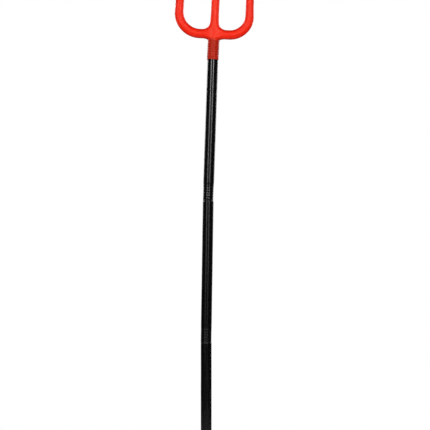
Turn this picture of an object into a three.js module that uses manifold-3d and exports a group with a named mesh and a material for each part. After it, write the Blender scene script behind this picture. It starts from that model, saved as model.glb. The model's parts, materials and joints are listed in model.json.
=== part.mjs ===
// A toy devil's pitchfork that comes apart: a red blow-moulded fork head on a black pole of three
// identical blow-moulded sections. Every piece above plugs its ribbed socket over the ribbed spigot of
// the piece below, and a cap closes the lowest socket. Millimetres, +Z up, the foot of the cap at z = 0.
import * as THREE from 'three';
import { mergeVertices } from 'three/addons/utils/BufferGeometryUtils.js';
import Module from 'manifold-3d';

const wasm = await Module();
wasm.setup();

// Pole
const sectionPitch = 300;      // from one seam to the next
const tubeRadius = 11.25;
const tubeBore = 10;
const roundSides = 24;

// Push-fit joint
const spigotLength = 38;
const spigotRadius = 8.25;     // at the root of its ribs
const spigotRibRadius = 8.8;
const spigotBore = 7.25;
const spigotRibs = 5;
const socketDepth = 39.5;
const socketBore = 9.55;
const socketRadius = 10.45;    // at the root of its ribs
const socketRibRadius = 10.95;
const socketRibSpan = [2.8, 29.3];
const socketRibs = 5;
const seamGap = 0.65;          // under a mouth, so that a leaning socket still clears the shoulder

// How far each push fit leans towards +X on the piece below it
const middleLean = 0.88;
const upperLean = 1.06;
const headLean = 0.86;

// End cap
const capHeight = 8;
const capChamfer = 1.5;
const capPlugLength = 30;
const capPlugRadius = 8.7;
const capPlugRibRadius = 9.15;
const capPlugRibs = 4;
const capPlugWall = 1.6;

// Fork head, heights from the mouth of its neck
const neckTop = 43;
const neckRadius = 11.9;       // at the root of its ribs
const neckRibRadius = 12.5;
const neckBore = 9.6;
const neckRibSpan = [4, 42];
const neckRibs = 7;
const barHeight = 54;          // centreline of the cross bar
const barRadius = 9.9;
const centreTine = { side: 0, x: 0, radius: 8.55, tip: 262 };
const sideTines = [            // the corner is the radius of the bend's centreline
  { side: -1, x: 76, radius: 8.8, corner: 45, tip: 246 },
  { side: 1, x: 73.6, radius: 8.35, corner: 41, tip: 246 },
];
const toeIn = THREE.MathUtils.degToRad(1.2);   // how far the side tines lean inwards
const headWall = 1.7;

// Webs that round the corners between the cross bar and what stands on it
const crotchFillet = 17;
const neckFillet = 5;
const web = { thickness: 11, bevel: 2.5, root: 6 };

// Arrow tips of the tines
const arrow = { length: 46, halfWidth: 18, barbDrop: 7, thickness: 12, bevel: 3.5 };

const red = new THREE.MeshStandardMaterial({ color: 0xf0362a, roughness: 0.34, metalness: 0 });
const black = new THREE.MeshStandardMaterial({ color: 0x0b0b0c, roughness: 0.28, metalness: 0 });

const point = (x, y) => new THREE.Vector2(x, y);

/** Ring ribs as a zigzag profile of [radius, height] points from one height to another. */
function ribs(low, high, count, rootRadius, ribRadius) {
  const pitch = (high - low) / count;
  const profile = [point(rootRadius, low)];
  for (let i = 0; i < count; i++) {
    profile.push(point(ribRadius, low + (i + 0.5) * pitch));
    profile.push(point(rootRadius, low + (i + 1) * pitch));
  }
  return profile;
}

/** A solid of revolution about Z from a closed profile of [radius, height] points. */
function turned(profile, sides = roundSides) {
  const lathe = new THREE.LatheGeometry([...profile, profile[0]], sides);
  return lathe.rotateX(Math.PI / 2);
}

/** A geometry as a manifold-3d solid. */
function solid(geometry) {
  const plain = geometry.clone();
  plain.deleteAttribute('normal');
  plain.deleteAttribute('uv');
  const merged = mergeVertices(plain, 1e-4);
  const triVerts = Uint32Array.from(merged.index.array);
  const vertProperties = Float32Array.from(merged.attributes.position.array);
  return new wasm.Manifold(new wasm.Mesh({ numProp: 3, vertProperties, triVerts }));
}

/** A manifold-3d solid back as a geometry. */
function geometryOf(made) {
  const { vertProperties, triVerts } = made.getMesh();
  const geometry = new THREE.BufferGeometry();
  geometry.setAttribute('position', new THREE.BufferAttribute(vertProperties, 3));
  geometry.setIndex(new THREE.BufferAttribute(triVerts, 1));
  geometry.computeVertexNormals();
  return geometry;
}

const union = (solids) => solids.reduce((sum, next) => sum.add(next));

/** One pole section: ribbed socket at the bottom, plain tube, ribbed spigot at the top, bored through. */
function poleSection() {
  const shoulder = sectionPitch - seamGap;
  const [ribsLow, ribsHigh] = socketRibSpan;
  const spigotTop = sectionPitch + spigotLength;
  return turned([
    point(socketBore, 0),
    point(socketRibRadius, 0),
    point(socketRibRadius, ribsLow - 1.3),
    ...ribs(ribsLow, ribsHigh, socketRibs, socketRadius, socketRibRadius),
    point(socketRibRadius, ribsHigh + 1.3),
    point(socketRibRadius, socketDepth - 2.5),
    point(tubeRadius, socketDepth - 1),
    point(tubeRadius, shoulder - 0.6),
    point(tubeRadius - 0.6, shoulder),
    point(spigotRadius, shoulder),
    ...ribs(sectionPitch + 4, spigotTop - 4, spigotRibs, spigotRadius, spigotRibRadius),
    point(spigotRadius - 0.6, spigotTop),
    point(spigotBore, spigotTop),
    point(spigotBore, shoulder - 1.5),
    point(tubeBore, shoulder - 5),
    point(tubeBore, socketDepth + 1),
    point(socketBore, socketDepth),
  ]);
}

/** The cap: a round foot with a ribbed plug that fills the lowest socket, hollow from above. */
function endCap() {
  const shoulder = capHeight - seamGap;
  const plugTop = capHeight + capPlugLength;
  const bore = capPlugRadius - capPlugWall;
  return turned([
    point(0, 0),
    point(tubeRadius - capChamfer, 0),
    point(tubeRadius, capChamfer),
    point(tubeRadius, shoulder),
    point(capPlugRadius, shoulder),
    ...ribs(capHeight + 3, plugTop - 3, capPlugRibs, capPlugRadius, capPlugRibRadius),
    point(capPlugRadius - 0.6, plugTop),
    point(bore, plugTop),
    point(bore, capHeight),
    point(0, capHeight),
  ]);
}

/** The centreline of a side tine: from the middle of the cross bar, round the corner and up. */
function tinePath({ side, x, corner }, top) {
  const path = new THREE.Path();
  path.moveTo(0, barHeight);
  path.lineTo(x - corner, barHeight);
  path.absarc(x - corner, barHeight + corner, corner, -Math.PI / 2, toeIn, false);
  const start = path.currentPoint;
  path.lineTo(start.x - (top - start.y) * Math.tan(toeIn), top);
  const spaced = path.getSpacedPoints(60).map((p) => new THREE.Vector3(side * p.x, 0, p.y));
  return new THREE.CatmullRomCurve3(spaced, false, 'centripetal');
}

/** A round bar along a path, with the step length about as long as the bar is thick. */
function barAlong(path, radius, sides) {
  const section = new THREE.Shape().absarc(0, 0, radius, 0, 2 * Math.PI);
  const steps = Math.round(path.getLength() / (1.2 * radius));
  return new THREE.ExtrudeGeometry(section, { extrudePath: path, steps, curveSegments: sides });
}

/** The level bar that joins the tines, as far as both bends begin, with round ends. */
function crossBar(radius) {
  const reach = Math.min(...sideTines.map((tine) => tine.x - tine.corner));
  const bar = new THREE.CapsuleGeometry(radius, 2 * reach, 4, roundSides);
  return bar.rotateZ(Math.PI / 2).translate(0, 0, barHeight);
}

/** A flat outline in X and Z, given a thickness along Y with rounded edges. */
function plate(outline, { thickness, bevel }) {
  const options = {
    depth: thickness - 2 * bevel,
    bevelThickness: bevel,
    bevelSize: bevel,
    bevelOffset: -bevel,
    bevelSegments: 2,
    curveSegments: 6,
  };
  const geometry = new THREE.ExtrudeGeometry(outline, options);
  return geometry.translate(0, 0, -options.depth / 2).rotateX(Math.PI / 2);
}

/** The web that rounds the corners between an upright and a level bar, standing on z = 0. */
function cornerWeb(halfWidth, fillet) {
  const reach = halfWidth + fillet;
  const outline = new THREE.Shape();
  outline.moveTo(-reach, -web.root);
  outline.lineTo(reach, -web.root);
  outline.lineTo(reach, 0);
  outline.absarc(reach, fillet, fillet, 1.5 * Math.PI, Math.PI, true);
  outline.lineTo(-halfWidth, fillet);
  outline.absarc(-reach, fillet, fillet, 2 * Math.PI, 1.5 * Math.PI, true);
  return plate(outline, web);
}

/** A barbed arrow tip with its point at the origin. */
function arrowTip() {
  const { length, halfWidth, barbDrop } = arrow;
  const outline = new THREE.Shape();
  outline.moveTo(0, 0);
  outline.quadraticCurveTo(-halfWidth * 0.62, -length * 0.42, -halfWidth, -length);
  outline.lineTo(0, barbDrop - length);
  outline.lineTo(halfWidth, -length);
  outline.quadraticCurveTo(halfWidth * 0.62, -length * 0.42, 0, 0);
  return plate(outline, arrow);
}

/** The arrow tip of a tine, on the end of its centreline and in line with it. */
function tipOf({ side, x, corner, tip }) {
  if (side === 0) return arrowTip().translate(x, 0, tip);
  const drift = (tip - barHeight - corner) * Math.tan(toeIn);
  return arrowTip().rotateY(-side * toeIn).translate(side * (x - drift), 0, tip);
}

/** The ribbed neck and the centre tine, turned in one. */
function neckAndCentreTine() {
  const top = centreTine.tip - arrow.length / 2;
  const [ribsLow, ribsHigh] = neckRibSpan;
  return turned([
    point(0, 0),
    point(neckRibRadius, 0),
    point(neckRibRadius, ribsLow - 1.5),
    ...ribs(ribsLow, ribsHigh, neckRibs, neckRadius, neckRibRadius),
    point(neckRadius, neckTop),
    point(centreTine.radius, barHeight + barRadius),
    point(centreTine.radius, top),
    point(0, top),
  ]);
}

/** The hollow of the neck and of the centre tine. */
function neckAndCentreBore() {
  const bore = centreTine.radius - headWall;
  const top = centreTine.tip - arrow.length;
  return turned([
    point(0, -1),
    point(neckBore, -1),
    point(neckBore, socketDepth),
    point(bore, barHeight - 4),
    point(bore, top),
    point(0, top),
  ]);
}

/** The fork head: one hollow moulding, open at the mouth of its neck. */
function forkHead() {
  const crotch = cornerWeb(centreTine.radius, crotchFillet).translate(0, 0, barHeight + barRadius);
  const throat = cornerWeb(neckRadius, neckFillet).rotateY(Math.PI).translate(0, 0, barHeight - barRadius);
  const outside = [neckAndCentreTine(), crossBar(barRadius), crotch, throat, tipOf(centreTine)];
  const inside = [neckAndCentreBore(), crossBar(barRadius - headWall)];
  for (const tine of sideTines) {
    outside.push(barAlong(tinePath(tine, tine.tip - arrow.length / 2), tine.radius, 8), tipOf(tine));
    inside.push(barAlong(tinePath(tine, tine.tip - arrow.length), tine.radius - headWall, 6));
  }
  return geometryOf(union(outside.map(solid)).subtract(union(inside.map(solid))));
}

function mesh(name, geometry, material) {
  const made = new THREE.Mesh(geometry, material);
  made.name = name;
  return made;
}

/** A group whose origin is the mouth of a socket pushed on to the spigot of the piece below. */
function pluggedOn(below, lean) {
  const middle = new THREE.Group();
  middle.position.z = sectionPitch + spigotLength / 2;
  middle.rotation.y = THREE.MathUtils.degToRad(lean);
  below.add(middle);
  const mouth = new THREE.Group();
  mouth.position.z = -spigotLength / 2;
  middle.add(mouth);
  return mouth;
}

const pitchfork = new THREE.Group();
pitchfork.add(mesh('end_cap', endCap(), black));

const lower = new THREE.Group();
lower.position.z = capHeight;
pitchfork.add(lower);
lower.add(mesh('lower_section', poleSection(), black));

const middle = pluggedOn(lower, middleLean);
middle.add(mesh('middle_section', poleSection(), black));

const upper = pluggedOn(middle, upperLean);
upper.add(mesh('upper_section', poleSection(), black));

const head = pluggedOn(upper, headLean);
head.add(mesh('fork_head', forkHead(), red));

export default pitchfork;
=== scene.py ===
"""A toy devil's pitchfork: a red blow-moulded fork head on a black pole of push-fit sections."""
import json
import math

import bmesh
import bpy
import numpy as np
from mathutils import Matrix, Vector

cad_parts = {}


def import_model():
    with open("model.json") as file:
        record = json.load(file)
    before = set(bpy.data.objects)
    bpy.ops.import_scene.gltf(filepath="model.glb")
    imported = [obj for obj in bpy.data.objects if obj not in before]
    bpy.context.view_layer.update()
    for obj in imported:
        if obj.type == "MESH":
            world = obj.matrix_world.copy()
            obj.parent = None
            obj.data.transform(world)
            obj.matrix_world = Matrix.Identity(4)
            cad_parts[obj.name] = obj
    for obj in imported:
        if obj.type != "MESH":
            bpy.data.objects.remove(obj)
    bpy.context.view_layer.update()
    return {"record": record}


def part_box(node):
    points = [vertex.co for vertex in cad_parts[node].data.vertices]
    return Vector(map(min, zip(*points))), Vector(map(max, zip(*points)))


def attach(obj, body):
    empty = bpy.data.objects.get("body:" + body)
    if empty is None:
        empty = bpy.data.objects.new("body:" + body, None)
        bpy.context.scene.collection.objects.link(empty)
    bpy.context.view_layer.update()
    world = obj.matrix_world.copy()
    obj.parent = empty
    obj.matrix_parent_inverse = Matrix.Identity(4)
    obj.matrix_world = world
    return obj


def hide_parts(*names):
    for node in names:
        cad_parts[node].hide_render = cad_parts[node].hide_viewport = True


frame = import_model()

MM = 0.001

# The pole, with the section's ends and the tube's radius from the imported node
SECTION_LOW, SECTION_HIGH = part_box("lower_section")
CAP_HEIGHT = SECTION_LOW.z
TUBE_RADIUS = SECTION_HIGH.y
SPIGOT_LENGTH = 38 * MM
SECTION_PITCH = SECTION_HIGH.z - SECTION_LOW.z - SPIGOT_LENGTH
TUBE_BORE = 10 * MM
SEAM_GAP = 0.4 * MM

# The pole's outer wall, which is what is wider than OUTER_WALL: a ridge at the parting lines and slow waves
OUTER_WALL = 0.92 * TUBE_RADIUS
POLE_RIDGE = 0.12 * MM
POLE_RIDGE_SHARPNESS = 400
WALL_UNEVENNESS = 0.1 * MM
WALL_WAVES = 6
WALL_WAVE_PITCH = (50 * MM, 160 * MM)

# The push fit; pairs are the radius at the root of the ribs and the radius at their tops
SLIM_SOCKET = (10.4 * MM, 10.95 * MM)
FULL_SOCKET = (10.95 * MM, 11.2 * MM)
SPIGOT_RADII = (8.2 * MM, 8.75 * MM)
PLUG_RADII = (8.65 * MM, 9.1 * MM)
SOCKET_BORE = 9.6 * MM
SPIGOT_BORE = 7.25 * MM
SOCKET_DEPTH = 39.5 * MM
SOCKET_RIB_SPAN = (2.8 * MM, 29.3 * MM)
SOCKET_RIBS = 5
SOCKET_FLANK = 1.3 * MM
SOCKET_PLAIN = 5.5 * MM
SOCKET_FLARE = 5 * MM
SPIGOT_RIBS = 5
PLUG_RIBS = 4
PLUG_LENGTH = 30 * MM
PLUG_WALL = 1.6 * MM
CAP_ROUNDING = 1.6 * MM

# The fork head in millimetres, heights from the mouth of its neck; a corner is the radius of a tine's bend
NECK_TOP = 43
NECK_RADII = (11.85, 12.45)
NECK_BORE = 9.65
NECK_RIB_SPAN = (4, 42)
NECK_RIBS = 7
NECK_LIP = (2.4, 3.4)
BAR_HEIGHT = 54
BAR_RADIUS = 9.85
CENTRE_RADIUS = 8.5
CENTRE_TIP = 262
SIDE_TINES = (
    {"side": -1, "x": 76, "radius": 8.75, "corner": 45, "tip": 246},
    {"side": 1, "x": 73.6, "radius": 8.3, "corner": 41, "tip": 246},
)
TOE_IN = math.radians(1.2)
THINNING = (68, 122)  # the heights between which the bar's radius eases to the tines' own
CROTCH_FILLET = 17
THROAT_FILLET = 2.5
NECK_END = BAR_HEIGHT + 4 * BAR_RADIUS
BORE_END = 60
BORE_WAIST = (52, 6.25)  # the height and the radius that the bore narrows to
ARROW_LENGTH = 46
ARROW_HALF_WIDTH = 17.8
ARROW_BARB = 7
ARROW_THICKNESS = 5.9
ARROW_ROUNDING = 1.3
ARROW_EDGE = 2.2
ARROW_RIM = 0.55  # the share of its thickness that a tip has at its outline
ARROW_SLOPE = 8  # the way in from the outline to where a tip is thickest
ARROW_FILLET = 2.5
PARTING_RIDGE = 0.15
PARTING_WIDTH = 0.6

# The spacing of the grid that the head is meshed on, which is finer by the parting line and over the ribs
GRID_CELL = 1.37
PARTING_CELL = 0.4
RIB_CELL = 0.5

# How the upper pieces lean: each joint slides along the piece below, so its axis shows that piece's lean
AXES = {j["name"]: Vector(j["axis"]) for j in frame["record"]["behaviour"]["joints"]}
MIDDLE_LEAN = math.atan2(AXES["upper_pull"].x, AXES["upper_pull"].z)
UPPER_LEAN = math.atan2(AXES["head_pull"].x, AXES["head_pull"].z) - MIDDLE_LEAN
HEAD_LEAN = math.radians(0.86)

# Camera and floor
VIEW_CENTRE = Vector((0.0187, 0, 0.5785))
VIEW_WIDTH = 0.9116
VIEW_DISTANCE = 3.0
SENSOR = 36
FLOOR_RADIUS = 0.7
FLOOR_GAP = 0.5 * MM

# Lights
STRIP_WIDTH = 0.36
STRIP_DISTANCE = 1.8
STRIP_FADE = 2.3
FILL_SIZE = 1.6
FILL_TARGET = (0, 0, 0.6)

# Colours; a pattern mixes the two of a pair
CLEAN_BLACK = ((0.0012, 0.0012, 0.0014), (0.0028, 0.0028, 0.003))
# the lighter black of rubbed plastic; at the socket lips it is partly wear and partly a painted highlight
WORN_AND_HIGHLIT_BLACK = (0.011, 0.011, 0.012)
BRIGHT_RED = ((0.81, 0.012, 0.003), (0.86, 0.019, 0.004))
# painted shade: the neck's darker red stands in for the black spigot seen through the thin red wall
NECK_PAINTED_SHADE_RED = ((0.38, 0.009, 0.002), (0.44, 0.014, 0.003))
FLOOR_GREY = ((0.74, 0.74, 0.74), (0.78, 0.78, 0.78))

# Where the black plastic is rubbed dull and lighter, heights from the mouth of a section's socket; at the
# lips the lighter colour is partly wear and partly a painted highlight
SPIGOT_WEAR = (SECTION_PITCH - 1 * MM, SECTION_PITCH + 2 * MM)
LIP_WEAR_AND_HIGHLIGHT = (0.5 * MM, 4 * MM)

# Where the neck's painted shade, the darker red that stands in for the black spigot seen through the wall,
# turns into the bright red
NECK_SHADE_END = (42.5 * MM, 50 * MM)


# ---------------------------------------------------------------- meshes

def mesh_object(name, points, faces, placed=Matrix.Identity(4)):
    """A smooth-shaded object in the row frame, which keeps each point's own place as "rest_place"."""
    mesh = bpy.data.meshes.new(name)
    mesh.from_pydata([tuple(p) for p in points], [], [tuple(f) for f in faces])
    rest = mesh.attributes.new("rest_place", "FLOAT_VECTOR", "POINT")
    rest.data.foreach_set("vector", np.asarray(points, np.float32).ravel())
    mesh.transform(placed)
    mesh.shade_smooth()
    mesh.update()
    made = bpy.data.objects.new(name, mesh)
    bpy.context.scene.collection.objects.link(made)
    return made


def plug_on(below, lean):
    """The place of a socket's mouth, leaning at the middle of the spigot that it is pushed on to."""
    up = Matrix.Translation((0, 0, SECTION_PITCH + SPIGOT_LENGTH / 2))
    down = Matrix.Translation((0, 0, -SPIGOT_LENGTH / 2))
    return below @ up @ Matrix.Rotation(lean, 4, "Y") @ down


def ease(low, high, value):
    """From 0 at the low value to 1 at the high one, level at both ends."""
    t = np.clip((value - low) / (high - low), 0, 1)
    return t * t * (3 - 2 * t)


def rib_wave(turns):
    """The height of round ribs, from 0 between them to 1 on their tops."""
    return 0.5 - 0.5 * np.cos(2 * np.pi * turns)


def round_ribs(low, high, count, radii, samples=12):
    """A stretch of profile, [radius, height], with round ribs."""
    t = np.linspace(0, 1, count * samples + 1)
    radius = radii[0] + (radii[1] - radii[0]) * rib_wave(count * t)
    return np.column_stack([radius, low + (high - low) * t])


def step(low, high, radii, samples=9):
    """A smooth step in a profile from one radius to another."""
    t = np.linspace(0, 1, samples)
    radius = radii[0] + (radii[1] - radii[0]) * ease(0, 1, t)
    return np.column_stack([radius, low + (high - low) * t])


def rounded(profile, corners, size, samples=4):
    """A closed profile with some of its corners, given by their numbers, rounded by a short curve."""
    made = []
    count = len(profile)
    for i, here in enumerate(profile):
        if i not in corners:
            made.append(here)
            continue
        before, after = profile[i - 1], profile[(i + 1) % count]
        reach = [min(size, 0.45 * np.linalg.norm(p - here)) for p in (before, after)]
        a = here + (before - here) / np.linalg.norm(before - here) * reach[0]
        b = here + (after - here) / np.linalg.norm(after - here) * reach[1]
        for t in np.linspace(0, 1, samples):
            made.append((1 - t) ** 2 * a + 2 * t * (1 - t) * here + t**2 * b)
    return np.array(made)


def along(low, high, radius, spacing=5 * MM):
    """A straight stretch of profile with points often enough for the wall's slow waves."""
    heights = np.linspace(low, high, max(2, int(abs(high - low) / spacing)))
    return np.column_stack([np.full_like(heights, radius), heights])


def turned(name, profile, placed, waves=0.0, seed=0, sides=96):
    """A closed profile turned about Z, with the parting lines at +X and -X and a slightly uneven wall."""
    rng = np.random.default_rng(seed)
    angles = np.arange(sides) * 2 * np.pi / sides
    radius, height = profile[:, :1], profile[:, 1:]
    outside = (radius > OUTER_WALL).astype(float)
    uneven = np.zeros((len(profile), sides))
    for _ in range(WALL_WAVES):
        turns = rng.integers(0, 4)
        pitch = rng.uniform(*WALL_WAVE_PITCH)
        phases = rng.uniform(0, 2 * np.pi, 2)
        uneven += np.cos(turns * angles + phases[0]) * np.cos(2 * np.pi * height / pitch + phases[1])
    ridge = POLE_RIDGE * np.maximum(np.cos(2 * angles), 0) ** POLE_RIDGE_SHARPNESS
    reach = radius + outside * (waves * uneven / WALL_WAVES + ridge)
    points = np.stack([reach * np.cos(angles), reach * np.sin(angles), height + 0 * angles], axis=-1)
    ring = np.arange(sides)
    after = np.roll(ring, -1)
    faces = []
    for i in range(len(profile)):
        j = (i + 1) % len(profile)
        corners = [i * sides + ring, i * sides + after, j * sides + after, j * sides + ring]
        faces.extend(np.column_stack(corners).tolist())
    made = mesh_object(name, points.reshape(-1, 3), faces, placed)
    tidy(made)
    return made


def tidy(made):
    """Joins points that coincide on the axis and turns the faces outwards."""
    shape = bmesh.new()
    shape.from_mesh(made.data)
    bmesh.ops.remove_doubles(shape, verts=shape.verts, dist=1e-6)
    bmesh.ops.dissolve_degenerate(shape, edges=shape.edges, dist=1e-7)
    bmesh.ops.recalc_face_normals(shape, faces=shape.faces)
    shape.to_mesh(made.data)
    shape.free()


def pole_section(name, placed, socket, seed):
    """Ribbed socket, plain tube and ribbed spigot, one moulding bored through."""
    low, high = SOCKET_RIB_SPAN
    root, crest = socket
    plain_top = high + SOCKET_PLAIN
    flare_top = plain_top + SOCKET_FLARE
    shoulder = SECTION_PITCH - SEAM_GAP
    top = SECTION_PITCH + SPIGOT_LENGTH
    spigot = SPIGOT_RADII[0]
    lip = np.array([[SOCKET_BORE, 0], [crest, 0], [crest, low - SOCKET_FLANK - 0.1 * MM]])
    profile = np.vstack([
        rounded(lip, (1,), 0.5 * MM),
        step(low - SOCKET_FLANK, low, (crest, root)),
        round_ribs(low, high, SOCKET_RIBS, socket)[1:-1],
        step(high, high + SOCKET_FLANK, socket),
        along(high + SOCKET_FLANK + 0.5 * MM, plain_top - 0.5 * MM, crest, spacing=1 * MM),
        step(plain_top, flare_top, (crest, TUBE_RADIUS)),
        along(flare_top + 1 * MM, shoulder - 1.4 * MM, TUBE_RADIUS),
        [[TUBE_RADIUS, shoulder - 0.9 * MM], [TUBE_RADIUS - 0.06 * MM, shoulder - 0.35 * MM]],
        [[TUBE_RADIUS - 0.2 * MM, shoulder - 0.1 * MM], [TUBE_RADIUS - 0.5 * MM, shoulder]],
        [[spigot + 0.4 * MM, shoulder], [spigot, shoulder + 0.4 * MM]],
        round_ribs(SECTION_PITCH + 4 * MM, top - 4 * MM, SPIGOT_RIBS, SPIGOT_RADII),
        [[spigot - 0.2 * MM, top - 0.8 * MM], [spigot - 0.6 * MM, top]],
        [[SPIGOT_BORE, top], [SPIGOT_BORE, shoulder - 1.5 * MM], [TUBE_BORE, shoulder - 5 * MM]],
        [[TUBE_BORE, SOCKET_DEPTH + 1 * MM], [SOCKET_BORE, SOCKET_DEPTH]],
    ])
    return turned(name, profile, placed, waves=WALL_UNEVENNESS, seed=seed)


def end_cap(name):
    """The foot with its ribbed plug."""
    shoulder = CAP_HEIGHT - SEAM_GAP
    top = CAP_HEIGHT + PLUG_LENGTH
    bore = PLUG_RADII[0] - PLUG_WALL
    foot = np.array([[0, 0], [TUBE_RADIUS, 0], [TUBE_RADIUS, shoulder], [PLUG_RADII[0], shoulder]])
    profile = np.vstack([
        rounded(foot, (1, 2), CAP_ROUNDING, samples=7),
        round_ribs(CAP_HEIGHT + 3 * MM, top - 3 * MM, PLUG_RIBS, PLUG_RADII),
        [[PLUG_RADII[0] - 0.6 * MM, top], [bore, top], [bore, CAP_HEIGHT], [0, CAP_HEIGHT]],
    ])
    return turned(name, profile, Matrix.Identity(4), seed=9)


# ---------------------------------------------------------------- the fork head as a distance field, mm

def round_union(a, b, fillet):
    """Two shapes joined with a round fillet in the corner between them."""
    u, v = np.maximum(fillet - a, 0), np.maximum(fillet - b, 0)
    return np.maximum(fillet, np.minimum(a, b)) - np.hypot(u, v)


def to_segment(x, z, start, end):
    """The distance in the plan to a straight line between two points."""
    along_x, along_z = end[0] - start[0], end[1] - start[1]
    t = ((x - start[0]) * along_x + (z - start[1]) * along_z) / (along_x**2 + along_z**2)
    t = np.clip(t, 0, 1)
    return np.hypot(x - start[0] - t * along_x, z - start[1] - t * along_z)


def tine_top(tine):
    """Where a side tine's point is, in X and Z, with X towards its own side."""
    rise = tine["tip"] - BAR_HEIGHT - tine["corner"]
    return tine["x"] - rise * math.tan(TOE_IN), tine["tip"]


def side_tine(x, z, tine):
    """The plan distance to a side tine: half the cross bar, the bend and the upright."""
    x = tine["side"] * x
    corner = tine["corner"]
    bend = (tine["x"] - corner, BAR_HEIGHT + corner)
    bar = to_segment(x, z, (0, BAR_HEIGHT), (bend[0], BAR_HEIGHT))
    angle = np.arctan2(z - bend[1], x - bend[0])
    ring = np.abs(np.hypot(x - bend[0], z - bend[1]) - corner)
    ring = np.where((angle > -math.pi / 2) & (angle < TOE_IN), ring, 1e3)
    start = (bend[0] + corner * math.cos(TOE_IN), bend[1] + corner * math.sin(TOE_IN))
    tip = tine_top(tine)
    upright = to_segment(x, z, start, (tip[0], tip[1] - ARROW_LENGTH / 2))
    radius = tine["radius"] + (BAR_RADIUS - tine["radius"]) * (1 - ease(*THINNING, z))
    return np.minimum(np.minimum(bar, ring), upright) - radius


def arrow_outline():
    """A barbed tip's outline, as points, drawn in by the rounding that is added round it."""
    t = np.linspace(0, 1, 9)[:, None]
    point = np.array([[0, -ARROW_ROUNDING]])
    control = np.array([[0.62 * ARROW_HALF_WIDTH - ARROW_ROUNDING, -0.42 * ARROW_LENGTH]])
    barb = np.array([[ARROW_HALF_WIDTH - ARROW_ROUNDING, ARROW_ROUNDING - ARROW_LENGTH]])
    right = (1 - t) ** 2 * point + 2 * t * (1 - t) * control + t**2 * barb
    notch = np.array([[0, ARROW_BARB - ARROW_LENGTH]])
    left = right[:0:-1] * [-1, 1]
    return np.vstack([right, notch, left])


def inside_outline(x, z, outline):
    """The signed distance to a closed outline, below 0 inside it."""
    near = np.full(x.shape, 1e6)
    inside = np.zeros(x.shape, bool)
    for a, b in zip(outline, np.roll(outline, -1, axis=0)):
        near = np.minimum(near, to_segment(x, z, a, b))
        crosses = (a[1] > z) != (b[1] > z)
        span = b[1] - a[1] if b[1] != a[1] else 1e-9
        inside ^= crosses & (x < (b[0] - a[0]) * (z - a[1]) / span + a[0])
    return np.where(inside, -near, near)


def arrow_tip(x, y, z):
    """A barbed tip with a low ridge down its middle and rounded edges."""
    plan = inside_outline(x, z, arrow_outline()) - ARROW_ROUNDING
    half = ARROW_THICKNESS * (ARROW_RIM + (1 - ARROW_RIM) * np.clip(-plan / ARROW_SLOPE, 0, 1))
    past_side = np.maximum(plan + ARROW_EDGE, 0)
    past_face = np.maximum(np.abs(y) - half + ARROW_EDGE, 0)
    return np.hypot(past_side, past_face) - ARROW_EDGE


def neck(x, y, z):
    """The ribbed socket that the fork stands on, narrowing gently into the centre tine."""
    low, high = NECK_RIB_SPAN
    wave = rib_wave(NECK_RIBS * np.clip((z - low) / (high - low), 0, 1))
    lip = 1 - ease(*NECK_LIP, z)
    radius = NECK_RADII[0] + (NECK_RADII[1] - NECK_RADII[0]) * np.maximum(wave, lip)
    radius = radius + (CENTRE_RADIUS - 1 - radius) * ease(NECK_TOP + 5, NECK_END, z)
    return np.maximum(np.hypot(x, y) - radius, z - NECK_END)


def bore(x, y, z):
    """The hollow of the socket, narrowing into the fork."""
    waist_height, waist_radius = BORE_WAIST
    radius = NECK_BORE + (waist_radius - NECK_BORE) * ease(SOCKET_DEPTH / MM, waist_height, z)
    return np.maximum(np.hypot(x, y) - radius, z - BORE_END)


def fork_head_field(points):
    """The whole head: bar and tines, the neck below them, the tips, the parting line and the bore."""
    x, y, z = points[:, 0], points[:, 1], points[:, 2]
    plan = np.minimum(side_tine(x, z, SIDE_TINES[0]), side_tine(x, z, SIDE_TINES[1]))
    centre = to_segment(x, z, (0, BAR_HEIGHT), (0, CENTRE_TIP - ARROW_LENGTH / 2)) - CENTRE_RADIUS
    plan = round_union(plan, centre, CROTCH_FILLET)
    thickness = CENTRE_RADIUS + (BAR_RADIUS - CENTRE_RADIUS) * (1 - ease(*THINNING, z))
    field = np.hypot(np.maximum(plan + thickness, 0), y) - thickness
    field = round_union(field, neck(x, y, z), THROAT_FILLET)
    by_tips = z > min(t["tip"] for t in SIDE_TINES) - ARROW_LENGTH - 12
    tips = [(0, CENTRE_TIP, 0)]
    for tine in SIDE_TINES:
        tip = tine_top(tine)
        tips.append((tine["side"] * tip[0], tip[1], tine["side"] * TOE_IN))
    for tip_x, tip_z, lean in tips:
        dx, dz = x[by_tips] - tip_x, z[by_tips] - tip_z
        turned_x = dx * math.cos(lean) + dz * math.sin(lean)
        turned_z = dz * math.cos(lean) - dx * math.sin(lean)
        tip = arrow_tip(turned_x, y[by_tips], turned_z)
        field[by_tips] = round_union(field[by_tips], tip, ARROW_FILLET)
    field = field - PARTING_RIDGE * np.exp(-((y / PARTING_WIDTH) ** 2))
    return np.maximum(np.maximum(field, -z), -bore(x, y, z))


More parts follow.
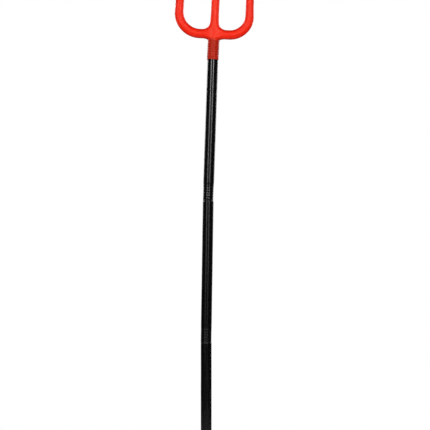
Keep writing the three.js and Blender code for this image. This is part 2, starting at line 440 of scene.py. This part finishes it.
def surface_net(field, axes):
    """A quad mesh of a field's zero level, with one point in each grid cell that the level crosses."""
    xs, ys, zs = axes
    shape = (len(xs), len(ys), len(zs))
    grid = np.stack(np.meshgrid(xs, ys, zs, indexing="ij"), axis=-1)
    value = field(grid.reshape(-1, 3)).reshape(shape)
    cells = tuple(n - 1 for n in shape)
    total = np.zeros(cells + (3,))
    count = np.zeros(cells)
    for axis in range(3):
        others = [a for a in range(3) if a != axis]
        low = [slice(None)] * 3
        high = [slice(None)] * 3
        low[axis], high[axis] = slice(0, -1), slice(1, None)
        v0, v1 = value[tuple(low)], value[tuple(high)]
        crossed = (v0 < 0) != (v1 < 0)
        t = np.where(crossed, v0 / np.where(crossed, v0 - v1, 1), 0)[..., None]
        place = grid[tuple(low)] * (1 - t) + grid[tuple(high)] * t
        for i in (0, 1):
            for j in (0, 1):
                part = [slice(None)] * 3
                part[others[0]] = slice(i, cells[others[0]] + i)
                part[others[1]] = slice(j, cells[others[1]] + j)
                hit = crossed[tuple(part)]
                total += place[tuple(part)] * hit[..., None]
                count += hit
    used = count > 0
    index = np.full(cells, -1)
    index[used] = np.arange(used.sum())
    points = total[used] / count[used][:, None]
    faces = []
    for axis in range(3):
        a, b = [(axis + 1) % 3, (axis + 2) % 3]
        inner = [slice(None)] * 3
        inner[axis] = slice(0, -1)
        outer = list(inner)
        outer[axis] = slice(1, None)
        for side in (a, b):
            inner[side] = outer[side] = slice(1, -1)
        v0, v1 = value[tuple(inner)], value[tuple(outer)]
        found = np.argwhere((v0 < 0) != (v1 < 0))
        flip = (v0 < 0)[tuple(found.T)]
        step_a, step_b = np.eye(3, dtype=int)[a], np.eye(3, dtype=int)[b]
        cells_round = [found, found + step_a, found + step_a + step_b, found + step_b]
        quad = np.column_stack([index[tuple(cell.T)] for cell in cells_round])
        quad[~flip] = quad[~flip][:, ::-1]
        faces.append(quad)
    return points, np.vstack(faces)


def settle(points, field, rounds=3, probe=0.02, least_slope=0.05, longest_move=0.6):
    """Moves each point along the field's slope on to the zero level."""
    for _ in range(rounds):
        slope = np.empty_like(points)
        for axis in range(3):
            shift = np.zeros(3)
            shift[axis] = probe
            slope[:, axis] = (field(points + shift) - field(points - shift)) / (2 * probe)
        steep = np.maximum((slope**2).sum(1), least_slope)
        move = np.clip(field(points) / steep, -longest_move, longest_move)
        points = points - slope * move[:, None]
    return points


def fork_head(name, placed):
    """The red head: neck, cross bar and three barbed tines, one moulding."""
    reach = max(t["x"] for t in SIDE_TINES) + ARROW_HALF_WIDTH
    xs = np.arange(-reach, reach + GRID_CELL, GRID_CELL)
    by_parting = PARTING_CELL * np.arange(1, 4)
    beyond = np.arange(by_parting[-1] + GRID_CELL, NECK_RADII[1] + 2 * GRID_CELL, GRID_CELL)
    ys = np.concatenate([-beyond[::-1], -by_parting[::-1], [0], by_parting, beyond])
    over_ribs = np.arange(-1.3, NECK_TOP + 2, RIB_CELL)
    above = np.arange(NECK_TOP + 2.6, CENTRE_TIP + 2, GRID_CELL)
    points, faces = surface_net(fork_head_field, (xs, ys, np.concatenate([over_ribs, above])))
    points = settle(points, fork_head_field)
    made = mesh_object(name, points * MM, faces, placed)
    tidy(made)
    return made


# ---------------------------------------------------------------- materials

def new_material(name):
    """A material with its nodes, its links and its shader."""
    material = bpy.data.materials.new(name)
    material.use_nodes = True
    nodes = material.node_tree.nodes
    return material, nodes, material.node_tree.links, nodes["Principled BSDF"]


def noise(nodes, links, place, scale, detail=4, stretch=(1, 1, 1)):
    """A noise pattern fixed to the piece, stretched along its own axes."""
    mapping = nodes.new("ShaderNodeMapping")
    mapping.inputs["Scale"].default_value = stretch
    links.new(place.outputs["Vector"], mapping.inputs["Vector"])
    texture = nodes.new("ShaderNodeTexNoise")
    texture.inputs["Scale"].default_value = scale
    texture.inputs["Detail"].default_value = detail
    links.new(mapping.outputs["Vector"], texture.inputs["Vector"])
    return texture.outputs["Fac"]


def map_range(nodes, links, value, span, ends=(0, 1)):
    """A value, held within a span, turned into one between the two ends."""
    made = nodes.new("ShaderNodeMapRange")
    made.inputs["From Min"].default_value, made.inputs["From Max"].default_value = span
    made.inputs["To Min"].default_value, made.inputs["To Max"].default_value = ends
    links.new(value, made.inputs["Value"])
    return made.outputs["Result"]


def combine(nodes, links, operation, *values):
    """A Math node over sockets and plain numbers."""
    made = nodes.new("ShaderNodeMath")
    made.operation = operation
    for socket, value in zip(made.inputs, values):
        if isinstance(value, (int, float)):
            socket.default_value = value
        else:
            links.new(value, socket)
    return made.outputs[0]


def height_of(nodes, links, place):
    """The height on the piece, from its own origin."""
    split = nodes.new("ShaderNodeSeparateXYZ")
    links.new(place.outputs["Vector"], split.inputs["Vector"])
    return split.outputs["Z"]


def mix_colour(nodes, links, factor, a, b):
    made = nodes.new("ShaderNodeMix")
    made.data_type = "RGBA"
    links.new(factor, made.inputs["Factor"])
    for socket, value in ((made.inputs["A"], a), (made.inputs["B"], b)):
        if isinstance(value, tuple):
            socket.default_value = (*value, 1)
        else:
            links.new(value, socket)
    return made.outputs["Result"]


def add_bump(nodes, links, shader, layers):
    """Bumps one on another, each a pattern with its depth in metres."""
    normal = None
    for height, depth in layers:
        made = nodes.new("ShaderNodeBump")
        made.inputs["Strength"].default_value = 1
        made.inputs["Distance"].default_value = depth
        links.new(height, made.inputs["Height"])
        if normal:
            links.new(normal, made.inputs["Normal"])
        normal = made.outputs["Normal"]
    links.new(normal, shader.inputs["Normal"])


def rest_place(nodes):
    """Each point's own place on its piece, kept by mesh_object."""
    place = nodes.new("ShaderNodeAttribute")
    place.attribute_name = "rest_place"
    return place


def black_plastic():
    """Glossy black blow-moulded plastic with faint scuffs, rubbed dull and lighter on the spigots and the
    lips; the lighter line at the lips is partly wear and partly a painted highlight.
    """
    material, nodes, links, shader = new_material("pole_black")
    place = rest_place(nodes)
    skin = noise(nodes, links, place, scale=60, stretch=(1, 1, 0.25))
    scuffs = noise(nodes, links, place, scale=420, detail=6, stretch=(1, 1, 0.06))
    grain = noise(nodes, links, place, scale=1500, detail=3)
    height = height_of(nodes, links, place)
    on_spigot = map_range(nodes, links, height, SPIGOT_WEAR)
    # painted highlight: the lighter line at each socket lip is partly wear and partly a painted lip
    # highlight
    lip_wear_and_highlight = map_range(nodes, links, height, LIP_WEAR_AND_HIGHLIGHT, (1, 0))
    patchy = map_range(nodes, links, scuffs, (0.42, 0.62))
    rubbed_and_highlit = combine(nodes, links, "MAXIMUM", on_spigot, lip_wear_and_highlight)
    wear_and_highlight = combine(nodes, links, "MULTIPLY", rubbed_and_highlit, patchy)
    clean = mix_colour(nodes, links, map_range(nodes, links, skin, (0.35, 0.7)), *CLEAN_BLACK)
    links.new(mix_colour(nodes, links, wear_and_highlight, clean, WORN_AND_HIGHLIT_BLACK), shader.inputs["Base Color"])
    gloss = map_range(nodes, links, scuffs, (0.3, 0.75), (0.17, 0.29))
    rough = combine(nodes, links, "MULTIPLY_ADD", wear_and_highlight, 0.18, gloss)
    links.new(rough, shader.inputs["Roughness"])
    shader.inputs["IOR"].default_value = 1.5
    add_bump(nodes, links, shader, [(skin, 0.03 * MM), (grain, 0.0015 * MM)])
    return material


def red_plastic():
    """Red moulded plastic with painted shade round the socket: a darker red that stands in for the black
    spigot showing through its wall.
    """
    material, nodes, links, shader = new_material("head_red")
    place = rest_place(nodes)
    skin = noise(nodes, links, place, scale=45)
    mottle = noise(nodes, links, place, scale=160, detail=5)
    grain = noise(nodes, links, place, scale=1300, detail=3)
    bright = mix_colour(nodes, links, map_range(nodes, links, skin, (0.3, 0.7)), *BRIGHT_RED)
    wobble = combine(nodes, links, "MULTIPLY_ADD", mottle, 6 * MM, height_of(nodes, links, place))
    # painted shade: the neck is darkened in the base colour where the black spigot sits inside, and it
    # stays dark when the head is pulled off
    painted_shade_over_spigot = map_range(nodes, links, wobble, NECK_SHADE_END, (1, 0))
    shaded_neck_red = mix_colour(nodes, links, map_range(nodes, links, mottle, (0.3, 0.7)), *NECK_PAINTED_SHADE_RED)
    links.new(mix_colour(nodes, links, painted_shade_over_spigot, bright, shaded_neck_red), shader.inputs["Base Color"])
    rough = map_range(nodes, links, mottle, (0.3, 0.7), (0.32, 0.42))
    links.new(rough, shader.inputs["Roughness"])
    shader.inputs["IOR"].default_value = 1.5
    shader.inputs["Specular IOR Level"].default_value = 0.2
    shader.inputs["Specular Tint"].default_value = (1, 0.95, 0.7, 1)
    add_bump(nodes, links, shader, [(skin, 0.05 * MM), (grain, 0.002 * MM)])
    return material


def floor_material():
    """A pale, matt studio floor."""
    material, nodes, links, shader = new_material("studio_floor")
    place = nodes.new("ShaderNodeTexCoord")
    texture = nodes.new("ShaderNodeTexNoise")
    texture.inputs["Scale"].default_value = 30
    links.new(place.outputs["Object"], texture.inputs["Vector"])
    colour = mix_colour(nodes, links, texture.outputs["Fac"], *FLOOR_GREY)
    links.new(colour, shader.inputs["Base Color"])
    shader.inputs["Roughness"].default_value = 0.7
    return material


# ---------------------------------------------------------------- stage

def around(azimuth, distance, height):
    """A place round the pole, its azimuth in degrees from the camera's side towards +X."""
    a = math.radians(azimuth)
    return Vector((distance * math.sin(a), -distance * math.cos(a), height))


def aim(made, place, target):
    made.location = place
    made.rotation_mode = "QUATERNION"
    made.rotation_quaternion = (Vector(target) - Vector(place)).to_track_quat("-Z", "Y")


def camera():
    """A level camera in front of the fork."""
    data = bpy.data.cameras.new("camera")
    data.sensor_width = SENSOR
    data.lens = SENSOR * VIEW_DISTANCE / VIEW_WIDTH
    data.clip_end = 50
    made = bpy.data.objects.new("camera", data)
    bpy.context.scene.collection.objects.link(made)
    aim(made, VIEW_CENTRE + Vector((0, -VIEW_DISTANCE, 0)), VIEW_CENTRE)
    bpy.context.scene.camera = made


def area_light(name, place, target, size, power):
    """A rectangular light that the camera doesn't see."""
    data = bpy.data.lights.new(name, "AREA")
    data.shape = "RECTANGLE"
    data.size, data.size_y = size
    data.energy = power
    made = bpy.data.objects.new(name, data)
    bpy.context.scene.collection.objects.link(made)
    aim(made, place, target)
    made.visible_camera = False
    return made


def soft_fill(name, azimuth, height, distance, power):
    """A large soft light for the colour of the surfaces only, which glossy surfaces don't mirror."""
    place = around(azimuth, distance, height)
    area_light(name, place, FILL_TARGET, (FILL_SIZE, FILL_SIZE), power).visible_glossy = False


def strip(name, azimuth, power):
    """A tall strip light that only glossy surfaces show, brightest at the top and fading to the floor."""
    height = 1.3
    place = around(azimuth, STRIP_DISTANCE, height / 2)
    made = area_light(name, place, (0, 0, height / 2), (STRIP_WIDTH, height), power)
    made.visible_diffuse = False
    data = made.data
    data.use_nodes = True
    nodes, links = data.node_tree.nodes, data.node_tree.links
    geometry = nodes.new("ShaderNodeNewGeometry")
    split = nodes.new("ShaderNodeSeparateXYZ")
    fade = nodes.new("ShaderNodeMath")
    fade.operation = "POWER"
    fade.inputs[1].default_value = STRIP_FADE
    links.new(geometry.outputs["Position"], split.inputs["Vector"])
    links.new(split.outputs["Z"], fade.inputs[0])
    links.new(fade.outputs[0], nodes["Emission"].inputs["Strength"])


def high_strip(name, azimuth, power):
    """An even strip light above a fading one, for what faces a little upwards."""
    height = 1.9
    place = around(azimuth, STRIP_DISTANCE, height)
    area_light(name, place, (0, 0, height), (STRIP_WIDTH, 1.0), power).visible_diffuse = False


def world():
    """White to the camera, and nearly black to everything that it lights or that mirrors it."""
    made = bpy.data.worlds.new("studio")
    bpy.context.scene.world = made
    made.use_nodes = True
    nodes, links = made.node_tree.nodes, made.node_tree.links
    background = nodes["Background"]
    rays = nodes.new("ShaderNodeLightPath")
    strength = nodes.new("ShaderNodeMapRange")
    strength.inputs["To Min"].default_value = 0.012
    strength.inputs["To Max"].default_value = 1.0
    links.new(rays.outputs["Is Camera Ray"], strength.inputs["Value"])
    background.inputs["Color"].default_value = (1, 1, 1, 1)
    links.new(strength.outputs["Result"], background.inputs["Strength"])


def floor():
    """A round floor, just clear of the foot."""
    shape = bmesh.new()
    bmesh.ops.create_circle(shape, cap_ends=True, radius=FLOOR_RADIUS, segments=96)
    mesh = bpy.data.meshes.new("floor")
    shape.to_mesh(mesh)
    shape.free()
    made = bpy.data.objects.new("floor", mesh)
    made.location.z = -FLOOR_GAP
    bpy.context.scene.collection.objects.link(made)
    mesh.materials.append(floor_material())


def stage():
    camera()
    world()
    floor()
    for side, azimuth, power in (("left", -27, 12), ("right", 21, 12.5)):
        strip(side + "_strip", azimuth, power)
        high_strip(side + "_high_strip", azimuth, 14)
    for side, azimuth in (("left", -140), ("right", 140)):
        strip(side + "_back_strip", azimuth, 8)
        high_strip(side + "_high_back_strip", azimuth, 12)
    soft_fill("front_fill", 0, height=1.5, distance=2.6, power=45)
    soft_fill("low_front_fill", 0, height=0.25, distance=2.6, power=22)
    for place, azimuth in (("left", -65), ("right", 65), ("left_back", -125), ("right_back", 125)):
        soft_fill(place + "_fill", azimuth, height=1.1, distance=2.2, power=15)
    soft_fill("back_fill", 180, height=1.5, distance=2.6, power=50)
    bpy.context.scene.view_settings.view_transform = "Standard"


# ---------------------------------------------------------------- the pieces

def dress(piece, body, node, material):
    """Gives a piece its material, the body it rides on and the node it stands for."""
    piece.data.materials.clear()
    piece.data.materials.append(material)
    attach(piece, body)
    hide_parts(node)


def build():
    black, red = black_plastic(), red_plastic()
    lower = Matrix.Translation((0, 0, CAP_HEIGHT))
    middle = plug_on(lower, MIDDLE_LEAN)
    upper = plug_on(middle, UPPER_LEAN)
    head = plug_on(upper, HEAD_LEAN)
    dress(end_cap("foot_cap"), "lower", "end_cap", black)
    sections = (
        ("lower", lower, FULL_SOCKET),
        ("middle", middle, FULL_SOCKET),
        ("upper", upper, SLIM_SOCKET),
    )
    for seed, (body, placed, socket) in enumerate(sections):
        made = pole_section(body + "_pole", placed, socket, seed)
        dress(made, body, body + "_section", black)
    dress(fork_head("red_fork", head), "head", "fork_head", red)


stage()
build()
bpy.context.view_layer.update()
